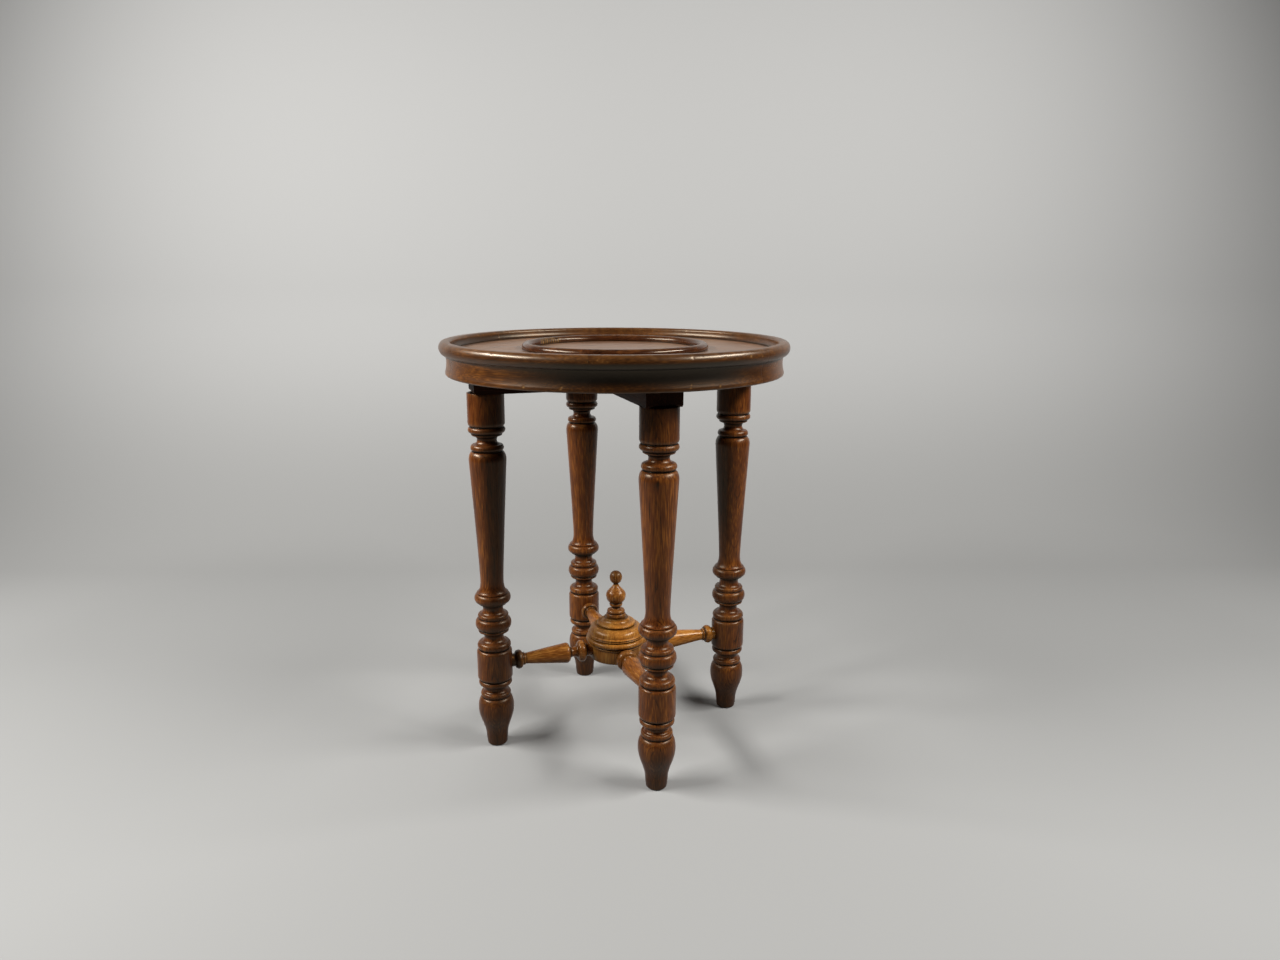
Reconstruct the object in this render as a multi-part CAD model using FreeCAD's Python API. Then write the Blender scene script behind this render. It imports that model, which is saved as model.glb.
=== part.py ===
import FreeCAD, Part
import math
import os

# A round oak wine table: a rimmed tray top with a raised bottle ring, four turned legs,
# and four turned spindles that tie the legs low down to a hub with a finial.
# Sizes are in millimetres and angles in degrees. The origin is on the floor under the middle
# of the table, +Z is up, and the legs stand on the X and Y axes, the front one on -Y.

# Fits
GLUE_GAP = 0.1  # round tenon to its hole, on the radius
TIP_GAP = 0.5  # end of a tenon, tongue or wedge to the bottom of its hole

# Top boards, edge-glued side by side along X
TOP_RADIUS = 252.0  # to the widest part of the rim
BOARD_THICKNESS = 20.0
BOARD_COUNT = 3
BOARD_TONGUE_DEPTH = 7.0  # tongue between two boards
BOARD_TONGUE_THICKNESS = 6.0
EDGE_TONGUE_DEPTH = 6.0  # tongue round the boards, held by the rim
EDGE_TONGUE_THICKNESS = 8.0

# Rim, moulded and built up of segments
RIM_SEGMENTS = 6
RIM_JOINT_ANGLE = 5.5
RIM_WIDTH = 22.0
RIM_RISE = 13.4  # crest above the boards
RIM_DROP = 33.3  # lower edge below the top of the boards
RIM_ARRIS = 1.2
FASCIA_SETBACK = 8.0
FASCIA_FILLET = 4.5  # plain band along the lower edge, under the hollow
HOLLOW_DEPTH = 2.0  # deepest line of the hollow, in from that band
NOSING_RETURN = 8.6  # from the widest line in to the top of the hollow
NOSING_HEIGHT = 10.2  # from the hollow up to the widest line
NOSING_LINE = 4.6  # widest line above the boards
CREST_SETBACK = 7.2
CREST_WIDTH = 5.4
CREST_INNER_ROUND = 4.0
COVE_FOOT_RISE = 1.0  # little step where the inner cove meets the boards
COVE_FOOT_WIDTH = 1.0

# Bottle ring
RING_OUTER_RADIUS = 135.0
RING_WIDTH = 13.0
RING_RISE = 9.6
RING_SIDE_RISE = 3.2  # plain part of its sides, under the rounding
RING_SEAT_DEPTH = 1.5

# Bearers, half-lapped into a cross under the boards
BEARER_WIDTH = 50.0
BEARER_HEIGHT = 37.0
BEARER_PAST_LEG = 19.5  # end of a bearer past the leg's axis
BEARER_CHAMFER = 3.0
LEG_INSET = 38.5  # leg's axis in from the rim's inner face

# Leg tenon through the bearer, with its wedge
LEG_TENON_RADIUS = 12.0
WEDGE_LENGTH = 26.0
WEDGE_THICK_END = 3.2
WEDGE_THIN_END = 1.0

# Screws up through the bearers into the boards
SCREW_BITE = 13.0  # depth in the boards
SCREW_RADIUS = 2.3
SCREW_CLEARANCE = 0.3
SCREW_POINT = 5.0
SCREW_HEAD_RADIUS = 4.6
SCREW_HEAD_HEIGHT = 2.8
SCREW_SLOT_WIDTH = 1.1
SCREW_SLOT_DEPTH = 1.3
SCREW_FROM_CENTRE = 55.0
SCREW_FROM_LEG = 42.0

# Leg turning from the floor up: quirks are the fine flats between beads
QUIRK_HEIGHT = 1.2
QUIRK_RADIUS = 21.6
FINE_QUIRK_RADIUS = 20.4
COVE_MOUTH_RADIUS = 20.0  # where a bead turns into a cove
FOOT_EDGE_ROUND = 3.5
FOOT_BASE_RADIUS = 15.0
FOOT_STEM_RADIUS = 16.0
FOOT_STEM_HEIGHT = 9.5
BULB_RADIUS = 26.6
BULB_RISE = 49.0
BULB_SHOULDER = 17.0
ANKLE_RING_RADIUS = 22.5
ANKLE_RING_HEIGHT = 7.2
ANKLE_COVE_RADIUS = 16.4
ANKLE_COVE_HEIGHT = 10.4
ANKLE_BEAD_RADIUS = 24.7
ANKLE_BEAD_HEIGHT = 8.8
BLOCK_RADIUS = 26.0  # plain drum that takes the spindle
BLOCK_HEIGHT = 48.4
BLOCK_ROUND = 5.0
CAP_RADIUS = 24.7
CAP_LIP = 4.6
CAP_DOME = 6.0
LOW_COVE_RADIUS = 14.2
LOW_COVE_HEIGHT = 15.4
LOW_FILLET_RADIUS = 22.6
LOW_FILLET_HEIGHT = 4.0
LOW_BEAD_RADIUS = 26.3
LOW_BEAD_HEIGHT = 16.6
KNEE_RING_RADIUS = 22.4
KNEE_RING_LIP = 3.2
KNEE_RING_DOME = 2.8
KNEE_COVE_RADIUS = 14.8
KNEE_COVE_HEIGHT = 15.4
KNEE_FILLET_RADIUS = 20.8
KNEE_FILLET_HEIGHT = 1.8
KNEE_BEAD_RADIUS = 26.6
KNEE_BEAD_HEIGHT = 14.8
FLARE_RADIUS = 23.2
FLARE_HEIGHT = 17.4
TAPER_LOW_RADIUS = 16.9
TAPER_TOP_RADIUS = 26.7
TAPER_HEIGHT = 183.0
TAPER_EASE = 18.5  # upright start of the taper
TAPER_SHOULDER = 12.4
HIGH_RING_RADIUS = 23.7
HIGH_RING_LIP = 3.4
HIGH_RING_DOME = 5.2
HIGH_COVE_RADIUS = 14.0
HIGH_COVE_HEIGHT = 12.6
HIGH_FILLET_RADIUS = 21.9
HIGH_FILLET_HEIGHT = 3.8
HIGH_BEAD_RADIUS = 26.4
HIGH_BEAD_HEIGHT = 9.0
HIGH_QUIRK_RADIUS = 23.2
HEAD_RADIUS = 26.2
HEAD_ROUND = 5.2
HEAD_HEIGHT = 47.2

# Spindle turning from the leg to the hub: the cone takes up the length that is left
SPINDLE_TENON_RADIUS = 7.0
SPINDLE_TENON_LENGTH = 18.0
SPINDLE_COLLAR_RADIUS = 9.7
SPINDLE_COLLAR_LENGTH = 6.5
SPINDLE_BEAD_RADIUS = 14.3
SPINDLE_BEAD_LENGTH = 11.2
SPINDLE_STEP_LENGTH = 3.6
SPINDLE_QUIRK_LENGTH = 1.2
CONE_THIN_RADIUS = 8.2
CONE_THICK_RADIUS = 15.5
CONE_SHOULDER = 5.5
SPINDLE_MOUTH_RADIUS = 11.0
SPINDLE_COVE_RADIUS = 7.4
SPINDLE_COVE_LENGTH = 13.0
SPINDLE_RING_RADIUS = 16.5
SPINDLE_RING_LENGTH = 13.0
SPINDLE_RING_TO_HUB = 3.6  # ring to the widest part of the hub
HUB_COLLAR_RADIUS = 9.0

# Hub turning from its underside up
DRUM_RADIUS = 41.0
DRUM_BELOW_SPINDLE = 14.2
DRUM_HEIGHT = 21.5
DRUM_EDGE_ROUND = 2.0
HUB_QUIRK = 0.8
LIP_RADIUS = 43.0
LIP_HEIGHT = 3.2
TORUS_RADIUS = 46.4
TORUS_HEIGHT = 9.4
HUB_NECK_RADIUS = 41.4  # flats between the hub's beads
FINE_BEAD_RADIUS = 43.4
FINE_BEAD_HEIGHT = 2.7
DOME_FOOT_RADIUS = 41.2
DOME_TOP_RADIUS = 30.2
DOME_HEIGHT = 10.4
CROWN_RADIUS = 29.4
CROWN_HEIGHT = 4.6
CROWN_MOUTH_RADIUS = 26.8
SEAT_RADIUS = 19.0
SEAT_RISE = 6.4

# Finial turning from its tenon up
FINIAL_TENON_RADIUS = 6.0
FINIAL_TENON_LENGTH = 18.0
FINIAL_NECK_RADIUS = 12.6
FINIAL_BASE_RADIUS = 15.4
FINIAL_BASE_HEIGHT = 7.2
FINIAL_QUIRK = 0.6
FINIAL_CAP_RADIUS = 13.9
FINIAL_CAP_LIP = 2.0
FINIAL_CAP_DOME = 3.9
FINIAL_MOUTH_RADIUS = 8.6
FINIAL_COVE_RADIUS = 6.8
FINIAL_COVE_HEIGHT = 4.8
FINIAL_RING_RADIUS = 10.2
FINIAL_RING_HEIGHT = 5.4
FINIAL_BULB_RADIUS = 15.3
FINIAL_BULB_HEIGHT = 11.8
FINIAL_STEM_RADIUS = 3.7
FINIAL_STEM_HEIGHT = 19.5
BALL_RADIUS = 9.7

# Form of the curves, with no size
ROUND_WEIGHT = math.sqrt(0.5)  # makes a quarter of an ellipse
OGEE_HANDLE = 0.4  # share of an ogee's height that stays near upright at each end

CENTRE = FreeCAD.Vector(0, 0, 0)
UP = FreeCAD.Vector(0, 0, 1)
SIDE_NAMES = ("right", "back", "left", "front")  # in quarter turns from +X


def line(start, end):
    return Part.LineSegment(start, end).toShape()


def bezier(poles, middle_weight=1.0):
    """A curve on its poles; with three poles the middle weight sets how full it is."""
    curve = Part.BezierCurve()
    curve.setPoles(poles)
    if len(poles) == 3:
        curve.setWeight(2, middle_weight)
    return curve.toShape()


def quarter_round(start, end, corner):
    """A quarter of an ellipse between two points, bowed towards the corner."""
    return bezier([start, corner, end], ROUND_WEIGHT)


def point(radius, height):
    """A point of a half outline, in the XZ plane."""
    return FreeCAD.Vector(radius, 0, height)


def revolved(edges, angle=360.0):
    """The solid that a closed outline in the XZ plane sweeps about the Z axis."""
    return Part.Face(Part.Wire(edges)).revolve(CENTRE, UP, angle)


def cylinder(radius, low, high):
    """An upright cylinder on the Z axis, between two heights."""
    return Part.makeCylinder(radius, high - low, point(0, low))


def block(low, high):
    """A box between two corners."""
    size = high - low
    return Part.makeBox(size.x, size.y, size.z, low)


def turned_about_z(shape, angle):
    copy = shape.copy()
    copy.rotate(CENTRE, UP, angle)
    return copy


class Turning:
    """Half the outline of a turned piece, drawn upwards from its bottom centre."""

    def __init__(self, radius, height=0.0):
        self.foot = point(0, height)
        self.pen = point(radius, height)
        self.edges = [line(self.foot, self.pen)]

    def _add(self, edge, end):
        self.edges.append(edge)
        self.pen = end

    def straight(self, radius, rise):
        end = point(radius, self.pen.z + rise)
        self._add(line(self.pen, end), end)

    def step(self, radius):
        """A flat shoulder, in or out."""
        self.straight(radius, 0.0)

    def level_to_upright(self, radius, rise):
        end = point(radius, self.pen.z + rise)
        self._add(quarter_round(self.pen, end, point(radius, self.pen.z)), end)

    def upright_to_level(self, radius, rise):
        end = point(radius, self.pen.z + rise)
        self._add(quarter_round(self.pen, end, point(self.pen.x, end.z)), end)

    def half_round(self, extreme, radius, rise):
        """A bead where the extreme radius is the larger one, and a cove where it is the smaller."""
        self.level_to_upright(extreme, rise / 2)
        self.upright_to_level(radius, rise / 2)

    def ogee(self, radius, rise):
        """An S-curve that is upright at both ends."""
        end = point(radius, self.pen.z + rise)
        lower = point(self.pen.x, self.pen.z + OGEE_HANDLE * rise)
        upper = point(radius, end.z - OGEE_HANDLE * rise)
        self._add(bezier([self.pen, lower, upper, end]), end)

    def eased_taper(self, radius, rise, ease):
        """A nearly straight taper that starts upright."""
        end = point(radius, self.pen.z + rise)
        self._add(bezier([self.pen, point(self.pen.x, self.pen.z + ease), end]), end)

    def solid(self):
        top = point(0, self.pen.z)
        closing = [line(top, self.foot)]
        if self.pen.x > 0:
            closing.insert(0, line(self.pen, top))
        return revolved(self.edges + closing)


def leg_foot(turning):
    """Bulb foot and ankle, up to the underside of the block."""
    turning.level_to_upright(FOOT_BASE_RADIUS, FOOT_EDGE_ROUND)
    turning.straight(FOOT_STEM_RADIUS, FOOT_STEM_HEIGHT)
    turning.ogee(BULB_RADIUS, BULB_RISE)
    turning.upright_to_level(FINE_QUIRK_RADIUS, BULB_SHOULDER)
    turning.straight(FINE_QUIRK_RADIUS, QUIRK_HEIGHT)
    turning.half_round(ANKLE_RING_RADIUS, COVE_MOUTH_RADIUS, ANKLE_RING_HEIGHT)
    turning.half_round(ANKLE_COVE_RADIUS, COVE_MOUTH_RADIUS, ANKLE_COVE_HEIGHT)
    turning.half_round(ANKLE_BEAD_RADIUS, QUIRK_RADIUS, ANKLE_BEAD_HEIGHT)
    turning.straight(QUIRK_RADIUS, QUIRK_HEIGHT)


def leg_block(turning):
    """The plain drum with rounded ends that takes the spindle."""
    turning.level_to_upright(BLOCK_RADIUS, BLOCK_ROUND)
    turning.straight(BLOCK_RADIUS, BLOCK_HEIGHT - 2 * BLOCK_ROUND)
    turning.upright_to_level(QUIRK_RADIUS, BLOCK_ROUND)
    turning.straight(QUIRK_RADIUS, QUIRK_HEIGHT)


def leg_knee(turning):
    """Beads and coves between the block and the taper."""
    turning.level_to_upright(CAP_RADIUS, CAP_LIP)
    turning.upright_to_level(COVE_MOUTH_RADIUS, CAP_DOME)
    turning.half_round(LOW_COVE_RADIUS, COVE_MOUTH_RADIUS, LOW_COVE_HEIGHT)
    turning.half_round(LOW_FILLET_RADIUS, QUIRK_RADIUS, LOW_FILLET_HEIGHT)
    turning.straight(QUIRK_RADIUS, QUIRK_HEIGHT)
    turning.half_round(LOW_BEAD_RADIUS, QUIRK_RADIUS, LOW_BEAD_HEIGHT)
    turning.straight(QUIRK_RADIUS, QUIRK_HEIGHT)
    turning.level_to_upright(KNEE_RING_RADIUS, KNEE_RING_LIP)
    turning.upright_to_level(COVE_MOUTH_RADIUS, KNEE_RING_DOME)
    turning.half_round(KNEE_COVE_RADIUS, COVE_MOUTH_RADIUS, KNEE_COVE_HEIGHT)
    turning.step(KNEE_FILLET_RADIUS)
    turning.straight(KNEE_FILLET_RADIUS, KNEE_FILLET_HEIGHT)
    turning.half_round(KNEE_BEAD_RADIUS, QUIRK_RADIUS, KNEE_BEAD_HEIGHT)
    turning.straight(QUIRK_RADIUS, QUIRK_HEIGHT)


def leg_shaft(turning):
    """The flare and the long taper, with the shoulder over it."""
    turning.step(FLARE_RADIUS)
    turning.level_to_upright(TAPER_LOW_RADIUS, FLARE_HEIGHT)
    turning.eased_taper(TAPER_TOP_RADIUS, TAPER_HEIGHT, TAPER_EASE)
    turning.upright_to_level(FINE_QUIRK_RADIUS, TAPER_SHOULDER)
    turning.straight(FINE_QUIRK_RADIUS, QUIRK_HEIGHT)


def leg_head(turning):
    """The upper beads and the plain head under the bearer."""
    turning.level_to_upright(HIGH_RING_RADIUS, HIGH_RING_LIP)
    turning.upright_to_level(COVE_MOUTH_RADIUS, HIGH_RING_DOME)
    turning.half_round(HIGH_COVE_RADIUS, COVE_MOUTH_RADIUS, HIGH_COVE_HEIGHT)
    turning.half_round(HIGH_FILLET_RADIUS, QUIRK_RADIUS, HIGH_FILLET_HEIGHT)
    turning.half_round(HIGH_BEAD_RADIUS, HIGH_QUIRK_RADIUS, HIGH_BEAD_HEIGHT)
    turning.straight(HIGH_QUIRK_RADIUS, QUIRK_HEIGHT)
    turning.level_to_upright(HEAD_RADIUS, HEAD_ROUND)
    turning.straight(HEAD_RADIUS, HEAD_HEIGHT - HEAD_ROUND)


# Legs are drawn on the Z axis first, which also gives the heights that the rest is set by
leg_outline = Turning(FOOT_BASE_RADIUS - FOOT_EDGE_ROUND)
leg_foot(leg_outline)
BLOCK_LOW = leg_outline.pen.z
leg_block(leg_outline)
leg_knee(leg_outline)
leg_shaft(leg_outline)
leg_head(leg_outline)

LEG_TOP = leg_outline.pen.z
SPINDLE_LEVEL = BLOCK_LOW + BLOCK_HEIGHT / 2
TENON_TOP = LEG_TOP + BEARER_HEIGHT - TIP_GAP
BEARER_TOP = LEG_TOP + BEARER_HEIGHT
FIELD = BEARER_TOP + BOARD_THICKNESS  # upper face of the boards
RIM_INNER_RADIUS = TOP_RADIUS - RIM_WIDTH
LEG_CIRCLE = RIM_INNER_RADIUS - LEG_INSET
BEARER_END = LEG_CIRCLE + BEARER_PAST_LEG
LEG_SEAT = LEG_CIRCLE - math.sqrt(BLOCK_RADIUS**2 - SPINDLE_COLLAR_RADIUS**2)
HUB_SEAT = math.sqrt(DRUM_RADIUS**2 - HUB_COLLAR_RADIUS**2)
HUB_LOW = SPINDLE_LEVEL - DRUM_BELOW_SPINDLE
EDGE_TONGUE_LOW = FIELD - (BOARD_THICKNESS + EDGE_TONGUE_THICKNESS) / 2
EDGE_TONGUE_HIGH = EDGE_TONGUE_LOW + EDGE_TONGUE_THICKNESS


def wedge_on_axis():
    """The tapered wedge in the top of a leg tenon, thin across X, before the tenon trims its sides."""
    thick = WEDGE_THICK_END / 2
    thin = WEDGE_THIN_END / 2
    low = TENON_TOP - WEDGE_LENGTH
    corners = [
        FreeCAD.Vector(-thin, -LEG_TENON_RADIUS, low),
        FreeCAD.Vector(thin, -LEG_TENON_RADIUS, low),
        FreeCAD.Vector(thick, -LEG_TENON_RADIUS, TENON_TOP),
        FreeCAD.Vector(-thick, -LEG_TENON_RADIUS, TENON_TOP),
    ]
    side = Part.Face(Part.makePolygon(corners + corners[:1]))
    return side.extrude(FreeCAD.Vector(0, 2 * LEG_TENON_RADIUS, 0))


def spindle_hole(tenon_seat, direction, collar_radius):
    """A spindle's hole at its level along X: the round seat of its collar and the hole of its tenon."""
    depth = SPINDLE_TENON_LENGTH + TIP_GAP
    seat = FreeCAD.Vector(tenon_seat, 0, SPINDLE_LEVEL)
    inward = FreeCAD.Vector(direction, 0, 0)
    hole = Part.makeCylinder(SPINDLE_TENON_RADIUS + GLUE_GAP, depth, seat, inward)
    mouth_length = TORUS_RADIUS + BLOCK_RADIUS
    mouth = Part.makeCylinder(collar_radius + GLUE_GAP, mouth_length, seat, -inward)
    return hole.fuse(mouth)


def leg_and_wedge():
    """The right-hand leg and its wedge; the others are the same pieces a quarter turn on."""
    leg_outline.step(LEG_TENON_RADIUS)
    leg_outline.straight(LEG_TENON_RADIUS, TENON_TOP - LEG_TOP)
    kerf = wedge_on_axis()
    wedge = kerf.common(cylinder(LEG_TENON_RADIUS, LEG_TOP, TENON_TOP))
    leg = leg_outline.solid().cut(kerf)
    outward = FreeCAD.Vector(LEG_CIRCLE, 0, 0)
    leg.translate(outward)
    wedge.translate(outward)
    return leg.cut(spindle_hole(LEG_SEAT, 1, SPINDLE_COLLAR_RADIUS)), wedge


def spindle():
    """The right-hand spindle, turned from its leg tenon towards the hub."""
    ring_end = TORUS_RADIUS + SPINDLE_RING_TO_HUB
    hub_collar = ring_end - HUB_SEAT
    beads = SPINDLE_COLLAR_LENGTH + SPINDLE_BEAD_LENGTH + SPINDLE_STEP_LENGTH + SPINDLE_QUIRK_LENGTH
    rings = CONE_SHOULDER + SPINDLE_COVE_LENGTH + SPINDLE_RING_LENGTH
    cone_length = LEG_SEAT - ring_end - beads - rings
    turning = Turning(SPINDLE_TENON_RADIUS)
    turning.straight(SPINDLE_TENON_RADIUS, SPINDLE_TENON_LENGTH)
    turning.step(SPINDLE_COLLAR_RADIUS)
    turning.straight(SPINDLE_COLLAR_RADIUS, SPINDLE_COLLAR_LENGTH)
    turning.half_round(SPINDLE_BEAD_RADIUS, SPINDLE_COLLAR_RADIUS, SPINDLE_BEAD_LENGTH)
    turning.straight(SPINDLE_COLLAR_RADIUS, SPINDLE_STEP_LENGTH)
    turning.step(CONE_THIN_RADIUS)
    turning.straight(CONE_THIN_RADIUS, SPINDLE_QUIRK_LENGTH)
    turning.straight(CONE_THICK_RADIUS, cone_length)
    turning.upright_to_level(SPINDLE_MOUTH_RADIUS, CONE_SHOULDER)
    turning.half_round(SPINDLE_COVE_RADIUS, SPINDLE_MOUTH_RADIUS, SPINDLE_COVE_LENGTH)
    turning.half_round(SPINDLE_RING_RADIUS, HUB_COLLAR_RADIUS, SPINDLE_RING_LENGTH)
    turning.straight(HUB_COLLAR_RADIUS, hub_collar)
    turning.step(SPINDLE_TENON_RADIUS)
    turning.straight(SPINDLE_TENON_RADIUS, SPINDLE_TENON_LENGTH)
    piece = turning.solid()
    piece.rotate(CENTRE, FreeCAD.Vector(0, 1, 0), -90)
    piece.translate(FreeCAD.Vector(LEG_SEAT + SPINDLE_TENON_LENGTH, 0, SPINDLE_LEVEL))
    return piece


def hub_outline():
    turning = Turning(DRUM_RADIUS - DRUM_EDGE_ROUND, HUB_LOW)
    turning.level_to_upright(DRUM_RADIUS, DRUM_EDGE_ROUND)
    turning.straight(DRUM_RADIUS, DRUM_HEIGHT - DRUM_EDGE_ROUND)
    turning.half_round(LIP_RADIUS, HUB_NECK_RADIUS, LIP_HEIGHT)
    turning.straight(HUB_NECK_RADIUS, HUB_QUIRK)
    turning.half_round(TORUS_RADIUS, HUB_NECK_RADIUS, TORUS_HEIGHT)
    turning.straight(HUB_NECK_RADIUS, HUB_QUIRK)
    turning.half_round(FINE_BEAD_RADIUS, HUB_NECK_RADIUS, FINE_BEAD_HEIGHT)
    turning.half_round(FINE_BEAD_RADIUS, HUB_NECK_RADIUS, FINE_BEAD_HEIGHT)
    turning.straight(DOME_FOOT_RADIUS, HUB_QUIRK)
    turning.upright_to_level(DOME_TOP_RADIUS, DOME_HEIGHT)
    turning.step(CROWN_MOUTH_RADIUS)
    turning.straight(CROWN_MOUTH_RADIUS, HUB_QUIRK)
    turning.half_round(CROWN_RADIUS, CROWN_MOUTH_RADIUS, CROWN_HEIGHT)
    turning.level_to_upright(SEAT_RADIUS, SEAT_RISE)
    return turning


def hub_and_top():
    """The hub with its four spindle holes and the finial's socket, and the height of its top."""
    turning = hub_outline()
    hub_top = turning.pen.z
    hub = turning.solid()
    hole = spindle_hole(HUB_SEAT, -1, HUB_COLLAR_RADIUS)
    for quarter in range(len(SIDE_NAMES)):
        hub = hub.cut(turned_about_z(hole, 90 * quarter))
    socket_floor = hub_top - FINIAL_TENON_LENGTH - TIP_GAP
    return hub.cut(cylinder(FINIAL_TENON_RADIUS + GLUE_GAP, socket_floor, hub_top)), hub_top


def finial(seat):
    turning = Turning(FINIAL_TENON_RADIUS, seat - FINIAL_TENON_LENGTH)
    turning.straight(FINIAL_TENON_RADIUS, FINIAL_TENON_LENGTH)
    turning.step(FINIAL_NECK_RADIUS)
    turning.half_round(FINIAL_BASE_RADIUS, FINIAL_NECK_RADIUS, FINIAL_BASE_HEIGHT)
    turning.straight(FINIAL_NECK_RADIUS, FINIAL_QUIRK)
    turning.level_to_upright(FINIAL_CAP_RADIUS, FINIAL_CAP_LIP)
    turning.upright_to_level(FINIAL_MOUTH_RADIUS, FINIAL_CAP_DOME)
    turning.half_round(FINIAL_COVE_RADIUS, FINIAL_MOUTH_RADIUS, FINIAL_COVE_HEIGHT)
    turning.half_round(FINIAL_RING_RADIUS, FINIAL_MOUTH_RADIUS, FINIAL_RING_HEIGHT)
    turning.straight(FINIAL_MOUTH_RADIUS, FINIAL_QUIRK)
    turning.level_to_upright(FINIAL_BULB_RADIUS, FINIAL_BULB_HEIGHT)
    turning.ogee(FINIAL_STEM_RADIUS, FINIAL_STEM_HEIGHT)
    turning.level_to_upright(BALL_RADIUS, BALL_RADIUS)
    turning.upright_to_level(0.0, BALL_RADIUS)
    return turning.solid()


def bearer(lap_side):
    """The bearer along X, with its half-lap cut from above (1) or below (-1) and its leg holes."""
    low = LEG_TOP
    chamfer = BEARER_CHAMFER
    corners = [
        point(-BEARER_END, BEARER_TOP),
        point(BEARER_END, BEARER_TOP),
        point(BEARER_END, low + chamfer),
        point(BEARER_END - chamfer, low),
        point(chamfer - BEARER_END, low),
        point(-BEARER_END, low + chamfer),
    ]
    side = Part.Face(Part.makePolygon(corners + corners[:1]))
    beam = side.extrude(FreeCAD.Vector(0, BEARER_WIDTH, 0))
    beam.translate(FreeCAD.Vector(0, -BEARER_WIDTH / 2, 0))
    half = BEARER_WIDTH / 2
    middle = low + BEARER_HEIGHT / 2
    lap_low = middle if lap_side > 0 else low
    lap = block(
        FreeCAD.Vector(-half, -half, lap_low),
        FreeCAD.Vector(half, half, lap_low + BEARER_HEIGHT / 2),
    )
    beam = beam.cut(lap)
    for x in (-LEG_CIRCLE, LEG_CIRCLE):
        hole = cylinder(LEG_TENON_RADIUS + GLUE_GAP, low, BEARER_TOP)
        hole.translate(FreeCAD.Vector(x, 0, 0))
        beam = beam.cut(hole)
    return beam


def screw_on_axis(shank_radius):
    """A countersunk screw, or its clearance hole, standing on its head at the bearer's underside."""
    top = BEARER_TOP + SCREW_BITE
    turning = Turning(SCREW_HEAD_RADIUS, LEG_TOP)
    turning.straight(shank_radius, SCREW_HEAD_HEIGHT)
    turning.straight(shank_radius, top - SCREW_POINT - turning.pen.z)
    turning.straight(0.0, SCREW_POINT)
    return turning.solid()


def screw_places():
    outer = LEG_CIRCLE - SCREW_FROM_LEG
    return [
        turned_about_z(Part.Vertex(reach, 0, 0), 90 * quarter).Point
        for quarter in range(len(SIDE_NAMES))
        for reach in (SCREW_FROM_CENTRE, outer)
    ]


def placed_at(shape, places):
    """Copies of one shape, moved to each place."""
    copies = []
    for place in places:
        copy = shape.copy()
        copy.translate(place)
        copies.append(copy)
    return copies


def board_disc():
    """All the boards as one disc, with the tongue round its edge."""
    low = BEARER_TOP
    disc = cylinder(RIM_INNER_RADIUS, low, FIELD)
    tongue = cylinder(RIM_INNER_RADIUS + EDGE_TONGUE_DEPTH, EDGE_TONGUE_LOW, EDGE_TONGUE_HIGH)
    ring_outer = cylinder(RING_OUTER_RADIUS, FIELD - RING_SEAT_DEPTH, FIELD)
    ring_inner = cylinder(RING_OUTER_RADIUS - RING_WIDTH, FIELD - RING_SEAT_DEPTH, FIELD)
    return disc.fuse(tongue).removeSplitter().cut(ring_outer.cut(ring_inner))


def boards():
    """The boards from front to back, each with a tongue at its back edge that fits the next one's groove."""
    disc = board_disc()
    reach = RIM_INNER_RADIUS + EDGE_TONGUE_DEPTH
    width = 2 * RIM_INNER_RADIUS / BOARD_COUNT
    tongue_low = BEARER_TOP + (BOARD_THICKNESS - BOARD_TONGUE_THICKNESS) / 2
    tongue_high = tongue_low + BOARD_TONGUE_THICKNESS
    pieces = []
    for number in range(BOARD_COUNT):
        front = number * width - RIM_INNER_RADIUS
        back = front + width
        first = number == 0
        last = number == BOARD_COUNT - 1
        strip_front = -reach if first else front
        strip_back = reach if last else back
        strip = block(
            FreeCAD.Vector(-reach, strip_front, BEARER_TOP),
            FreeCAD.Vector(reach, strip_back, FIELD),
        )
        if not last:
            strip = strip.fuse(
                block(
                    FreeCAD.Vector(-reach, back, tongue_low),
                    FreeCAD.Vector(reach, back + BOARD_TONGUE_DEPTH, tongue_high),
                )
            )
        if not first:
            strip = strip.cut(
                block(
                    FreeCAD.Vector(-reach, front, tongue_low),
                    FreeCAD.Vector(reach, front + BOARD_TONGUE_DEPTH + TIP_GAP, tongue_high),
                )
            )
        pieces.append(disc.common(strip))
    return pieces


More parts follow.
